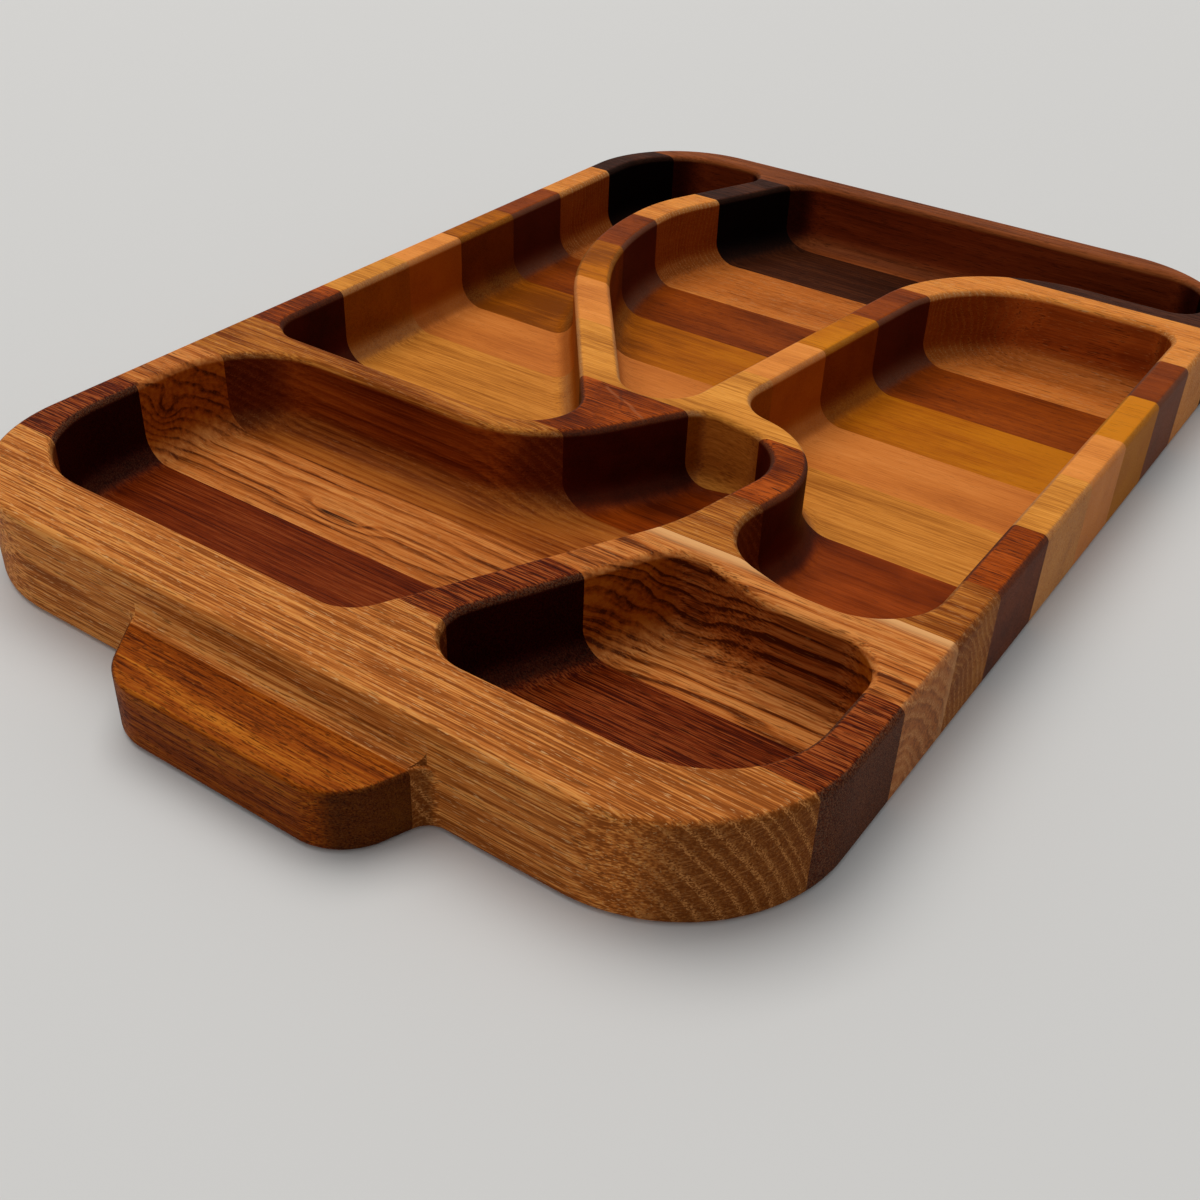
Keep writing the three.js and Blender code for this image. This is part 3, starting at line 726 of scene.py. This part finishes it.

# heart is the middle of the rings from the piece's own middle, lean its slope along the grain,
# gap a ring's width, and wander and ripple the reach and length of the grain's sway, all in millimetres
# ring, tone, streak, line and fibre weigh these patterns in the shade between the pale and dark colours
# wall holds painted shade in the wells: colours laid over the carved walls and their end grain, and its share
# on the deep floors
woods = {
    "handle_front": {
        "slot": "handle_wood", "seed": 1, "pale": "ba6b1b", "mid": "924307", "dark": "4b1801",
        # painted shade: the outer upright faces darker than the top
        "outer": "e4dcd0",
        "heart": (-18, -52), "lean": (0.03, 0.02), "gap": 3.6, "wander": (5, 90), "ripple": (0.6, 18),
        "ring": 0.12, "tone": 1.3, "streak": 0.4, "line": 0.7, "fibre": 1.0, "rough": 0.46, "bump": 0.5,
        "pore": {"length": 3, "width": 0.34, "from": 0.56, "amount": 0.65, "colour": "341304"},
        "fleck": {"length": 2.5, "width": 0.3, "from": 0.66, "amount": 0.4, "colour": "b8702c"},
        "wall": {"side": "c8a898", "end": "7a5a50", "floor": 0.1},
        "endGrain": {"amount": 0.75, "colour": "200b04", "specks": "7a4a26", "speckle": 0.3},
    },
    "stave_01_oak": {
        "slot": "light_oak", "seed": 2, "pale": "db9148", "mid": "bb6b2c", "dark": "884616", "drift": -0.16,
        "heart": (-200, -90), "lean": (0.008, 0.004), "gap": 3.4, "wander": (1.6, 140), "ripple": (0.2, 14),
        "ring": 0.3, "tone": 0.5, "streak": 1.0, "line": 2.0, "fibre": 1.4, "rough": 0.5, "bump": 0.6,
        "pore": oakPores, "fleck": oakFlecks,
        "wall": {"side": "d8c0b0", "end": "e0d0c4", "floor": 0.1},
        "endGrain": {"amount": 0.75, "colour": "562a0a", "specks": "b87a42", "speckle": 0.85},
    },
    "stave_02_jatoba": {
        "slot": "front_jatoba", "seed": 3, "pale": "9d4e1f", "mid": "7d2f04", "dark": "481202",
        "floorGrain": (0.35, 0.8),
        "heart": (-80, -30), "lean": (0.012, 0.01), "gap": 1.9, "wander": (2, 100), "ripple": (0.3, 16),
        "ring": 0.12, "tone": 0.9, "streak": 0.8, "line": 2.7, "fibre": 2.5, "rough": 0.44, "bump": 0.5,
        "pore": {"length": 6, "width": 0.34, "from": 0.55, "amount": 0.85, "colour": "2c0b03"},
        "fleck": {**denseFlecks, "colour": "a9583a"},
        "wall": {"side": "c8a898", "end": "a04b30", "floor": 0.55},
        "endGrain": {"amount": 0.75, "colour": "2a150e", "specks": "8a6a50", "speckle": 0.22},
    },
    "stave_03_oak": {
        "slot": "figured_oak", "seed": 4, "pale": "d58743", "mid": "b46125", "dark": "5a2506",
        "swirl": 0.85, "floorGrain": (0.65, 1.0), "lateFrom": 0.4,
        "heart": (-45, -55), "lean": (0.02, -0.012), "gap": 4.0, "wander": (4, 120), "ripple": (2.0, 24),
        "ring": 0.34, "tone": 0.7, "streak": 1.1, "line": 0.9, "fibre": 0.8, "rough": 0.5, "bump": 0.55,
        "pore": oakPores, "fleck": {**oakFlecks, "amount": 0.25},
        "figure": {"span": (10, 50), "gain": 0.4, "gap": 1.9, "uneven": 3, "thin": 0.8,
                   "rise": (0.4, 0.8), "fall": (0.85, 1.0), "patches": (0.3, 0.6)},
        "sapwood": {"from": -106, "soft": 5.5, "sway": 3, "start": (42, 52), "endLoss": 0.4,
                    "colour": "e0a468"},
        "knots": [{"place": (-59, -121.5, 5), "size": (13, 4.2, 60), "swell": 4.5, "shade": 0,
                   "slit": {"sway": 1.4, "width": (0.1, 0.4), "reach": (0.15, 0.7), "colour": "33170a"}},
                  {"place": (-137.5, -124, 20), "size": (14, 6, 6.5), "swell": 10, "shade": 0.25}],
        "wall": {"side": "d8c0b0", "end": "f0dc7c", "floor": 0},
        "endGrain": {"amount": 0.6, "colour": "86583a", "specks": "d5a06a", "speckle": 0.4},
    },
    "stave_04_oak": {
        "slot": "brown_oak", "seed": 5, "pale": "ca8033", "mid": "a65d1f", "dark": "723307",
        "cloud": 60, "floorGrain": (0.45, 0.45),
        "heart": (-60, -40), "lean": (0.015, -0.01), "gap": 2.8, "wander": (4, 110), "ripple": (0.4, 18),
        "ring": 0.25, "tone": 1.3, "streak": 0.8, "line": 1.2, "fibre": 1.0, "rough": 0.5, "bump": 0.55,
        "pore": oakPores, "fleck": {**oakFlecks, "amount": 0.25},
        "wall": {"side": "c99878", "end": "d8c0b0", "floor": 0.6},
        "endGrain": {"amount": 0.55, "colour": "5c341e", "specks": "c49260", "speckle": 0.4},
    },
    "stave_05_jatoba": {
        "slot": "middle_jatoba", "seed": 6, "pale": "b15012", "mid": "8d3902", "dark": "581d01",
        "cloud": 40, "floorGrain": (0.3, 0.3),
        "heart": (70, -40), "lean": (0.02, 0.012), "gap": 4.2, "wander": (4, 70), "ripple": (0.5, 20),
        "ring": 0.07, "tone": 2.0, "streak": 0.4, "line": 1.0, "fibre": 1.3, "rough": 0.42, "bump": 0.4,
        "pore": {"length": 5, "width": 0.4, "from": 0.58, "amount": 0.85, "colour": "40180a"},
        "fleck": denseFlecks,
        "hairlines": [
            {"start": (-12, -34), "end": (14, -47), "width": 0.7, "amount": 0.4, "colour": "a8623a"},
            {"start": (-6, -33), "end": (3, -46), "width": 0.8, "amount": 0.4, "colour": "4a1c0c"},
            {"start": (68, -58.6), "end": (74, -59.6), "width": 0.5, "amount": 0.9, "colour": "2a0d05"}],
        "wall": {"side": "c8a898", "end": "dc9559", "floor": 0.55},
        "endGrain": {"amount": 0.75, "colour": "3a221a", "specks": "5a3a2c", "speckle": 0.3},
    },
    "stave_06_iroko": {
        "slot": "golden_iroko", "seed": 7, "pale": "ea9e44", "mid": "d58833", "dark": "a25e1d",
        "heart": (-80, 12), "lean": (0.01, 0.006), "gap": 3.0, "wander": (3, 120), "ripple": (0.3, 18),
        "ring": 0.06, "tone": 1.1, "streak": 0.7, "line": 0.7, "fibre": 0.8, "rough": 0.46, "bump": 0.35,
        "pore": {"length": 6, "width": 0.45, "from": 0.6, "amount": 0.3, "colour": "8a4c18"},
        "fleck": {**denseFlecks, "colour": "e3aa62"},
        "wall": {"side": "d8c0b0", "end": "e0bb45", "floor": 0.35},
        "endGrain": {"amount": 0.55, "colour": "8a5a40", "specks": "b89468", "speckle": 0.3},
    },
    "stave_07_cherry": {
        "slot": "cherry", "seed": 8, "pale": "f09b4c", "mid": "de873a", "dark": "bb692a",
        "heart": (60, -50), "lean": (0.01, 0.01), "gap": 4.4, "wander": (4, 100), "ripple": (0.4, 22),
        "ring": 0.05, "tone": 1.1, "streak": 0.25, "line": 0.4, "fibre": 0.7, "rough": 0.45, "bump": 0.3,
        "pore": {"length": 4, "width": 0.4, "from": 0.63, "amount": 0.35, "colour": "8d4b20"},
        "fleck": {**denseFlecks, "colour": "e0a06a"},
        "wall": {"side": "d8c0b0", "end": "edce61", "floor": 0.55},
        "endGrain": {"amount": 0.55, "colour": "94592f", "specks": "b98560", "speckle": 0.3},
    },
    "stave_08_iroko": {
        "slot": "amber_iroko", "seed": 9, "pale": "cd7a10", "mid": "b6630a", "dark": "844204",
        "cloud": 45, "drift": 0.35,
        "heart": (-50, -50), "lean": (0.014, -0.008), "gap": 3.2, "wander": (4, 100), "ripple": (0.4, 20),
        "ring": 0.06, "tone": 1.4, "streak": 0.5, "line": 0.4, "fibre": 0.6, "rough": 0.46, "bump": 0.35,
        "pore": {"length": 6, "width": 0.45, "from": 0.6, "amount": 0.35, "colour": "6b370c"},
        "fleck": {**denseFlecks, "colour": "d3923c"},
        "wall": {"side": "d0b8a8", "end": "e0b252", "floor": 0.35},
        "endGrain": {"amount": 0.55, "colour": "663a14", "specks": "b0803c", "speckle": 0.3},
    },
    "stave_09_jatoba": {
        "slot": "back_jatoba", "seed": 10, "pale": "9c470b", "mid": "833707", "dark": "582002", "cloud": 50,
        "heart": (-60, -60), "lean": (0.014, 0.01), "gap": 2.8, "wander": (3.5, 90), "ripple": (0.4, 18),
        "ring": 0.08, "tone": 1.2, "streak": 0.4, "line": 0.3, "fibre": 0.55, "rough": 0.44, "bump": 0.45,
        "pore": {"length": 5, "width": 0.45, "from": 0.59, "amount": 0.5, "colour": "3f1a0c"},
        "fleck": denseFlecks,
        "wall": {"side": "d0b0a0", "end": "dca06e", "floor": 0.1},
        "endGrain": {"amount": 0.7, "colour": "58382a", "specks": "6e5040", "speckle": 0.3},
    },
    "stave_10_oak": {
        "slot": "tan_oak", "seed": 11, "pale": "ee9e49", "mid": "d78136", "dark": "a2581d",
        "heart": (130, 2), "lean": (0.012, 0.0), "gap": 1.9, "wander": (4, 90), "ripple": (0.4, 26),
        "ring": 0.12, "tone": 0.8, "streak": 0.4, "line": 0.4, "fibre": 0.5, "rough": 0.5, "bump": 0.5,
        "pore": oakPores, "fleck": oakFlecks,
        "wall": {"side": "c8a088", "end": "e5cb81", "floor": 0.6},
        "endGrain": {"amount": 0.45, "colour": "7c4d28", "specks": "cf9f6c", "speckle": 0.75},
    },
    "stave_11_wenge": {
        "slot": "wenge", "seed": 12, "pale": "5a2e17", "mid": "3a190b", "dark": "1a0802",
        "heart": (50, -70), "lean": (0.01, 0.01), "gap": 1.5, "wander": (2.5, 110), "ripple": (0.3, 18),
        "ring": 0.12, "tone": 0.8, "streak": 0.4, "line": 0.3, "fibre": 0.4, "rough": 0.45, "bump": 0.55,
        "pore": {"length": 6, "width": 0.5, "from": 0.57, "amount": 0.5, "colour": "150a06"},
        "fleck": {**denseFlecks, "colour": "7d5a44"},
        "wall": {"side": "c8a898", "end": "7a5a50", "floor": 0.1},
        "endGrain": {"amount": 0.75, "colour": "0c0604", "specks": "35231a", "speckle": 0.3},
    },
    "stave_12_walnut": {
        "slot": "walnut", "seed": 13, "pale": "a05a2c", "mid": "86441d", "dark": "58280c",
        "heart": (-70, -30), "lean": (0.012, 0.006), "gap": 3.0, "wander": (4, 110), "ripple": (0.4, 20),
        "ring": 0.12, "tone": 1.0, "streak": 0.5, "line": 0.3, "fibre": 0.5, "rough": 0.46, "bump": 0.45,
        "pore": {"length": 6, "width": 0.45, "from": 0.59, "amount": 0.5, "colour": "3d1e0d"},
        "fleck": {**denseFlecks, "colour": "a97048"},
        "wall": {"side": "d8a898", "end": "9a7a6a", "floor": 0.3},
        "endGrain": {"amount": 0.6, "colour": "2c1309", "specks": "6e4a32", "speckle": 0.3},
    },
}
woods["handle_back"] = {**woods["handle_front"], "seed": 14}

shading = {"sharpAngle": math.radians(28), "faceWeight": 80}

for node, wood in woods.items():
    low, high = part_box(node)
    material = woodMaterial(node + "_wood", (low[1] + high[1]) / 2 / mm, wood)
    source = newObject(node + "_source", carvedMesh)
    modifier = source.modifiers.new("glueSlice", "NODES")
    modifier.node_group = glueSlice
    modifier[sliceInput["Near"]] = float(low[1])
    modifier[sliceInput["Far"]] = float(high[1])
    modifier[sliceInput["Wood"]] = material
    mesh = plainMesh(source, node + "_shape")
    bpy.data.objects.remove(source)
    mesh.shade_smooth()
    mesh.set_sharp_from_angle(angle=shading["sharpAngle"])
    piece = newObject(node + "_wood", mesh)
    even = piece.modifiers.new("evenShading", "WEIGHTED_NORMAL")
    even.keep_sharp = True
    even.weight = shading["faceWeight"]
    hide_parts(node)
    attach(piece, "root")
    print("stage:", node, len(mesh.polygons), "faces")

bpy.data.meshes.remove(carvedMesh)

studio = {  # lengths in metres, lamp in watts
    "reach": 2.6, "floorColour": "d4d3d1", "floorRough": 0.9, "floorShine": 0.2,
    "backdrop": "cfcecb", "world": 0.43, "worldTint": (0.97, 0.985, 1, 1),
    "key": 310.0, "keyTint": (1.0, 0.985, 0.96), "keyPlace": (-2.1, 1.3, 6.3), "keySize": (6.0, 5.0),
}

reach = studio["reach"]
floorCorners = [(-reach, -reach, 0), (reach, -reach, 0), (reach, reach, 0), (-reach, reach, 0)]
floorMesh = bpy.data.meshes.new("floor")
floorMesh.from_pydata(floorCorners, [], [(0, 1, 2, 3)])
floor = newObject("floor", floorMesh)
paper = bpy.data.materials.new("paper")
paper.use_nodes = True
setShader(paper.node_tree, {"Base Color": linear(studio["floorColour"]), "Roughness": studio["floorRough"],
                            "Specular IOR Level": studio["floorShine"]})
floorMesh.materials.append(paper)

world = bpy.data.worlds.new("studio")
world.use_nodes = True
sky = world.node_tree
light = sky.nodes["Background"]
light.inputs["Color"].default_value = studio["worldTint"]
light.inputs["Strength"].default_value = studio["world"]
backdrop = addNode(sky, "ShaderNodeBackground", {"Color": linear(studio["backdrop"])})
path = sky.nodes.new("ShaderNodeLightPath").outputs
mirrored = addMath(sky, "MAXIMUM", path["Is Glossy Ray"], path["Is Transmission Ray"])
seen = addMath(sky, "MAXIMUM", path["Is Camera Ray"], mirrored)
either = addNode(sky, "ShaderNodeMixShader", {0: seen, 1: light.outputs[0], 2: backdrop.outputs[0]})
sky.links.new(either.outputs[0], sky.nodes["World Output"].inputs["Surface"])
scene.world = world

keyData = bpy.data.lights.new("key", "AREA")
keyData.shape = "RECTANGLE"
keyData.size, keyData.size_y = studio["keySize"]
keyData.energy = studio["key"]
keyData.color = studio["keyTint"]
key = newObject("key", keyData)
key.location = studio["keyPlace"]
key.rotation_euler = (Vector((0, 0, 0)) - Vector(studio["keyPlace"])).to_track_quat("-Z", "Y").to_euler()

view = {  # millimetres of film, metres and degrees
    "lens": 43.392, "sensor": 36,
    "place": (0.24131, -0.41551, 0.26501), "turn": (54.7657, -1.96, 34.7665),
}

cameraData = bpy.data.cameras.new("camera")
cameraData.lens = view["lens"]
cameraData.sensor_width = view["sensor"]
camera = newObject("camera", cameraData)
camera.location = view["place"]
camera.rotation_euler = [math.radians(angle) for angle in view["turn"]]
scene.camera = camera
scene.view_settings.view_transform = "Standard"
print("stage: floor, light and camera set")
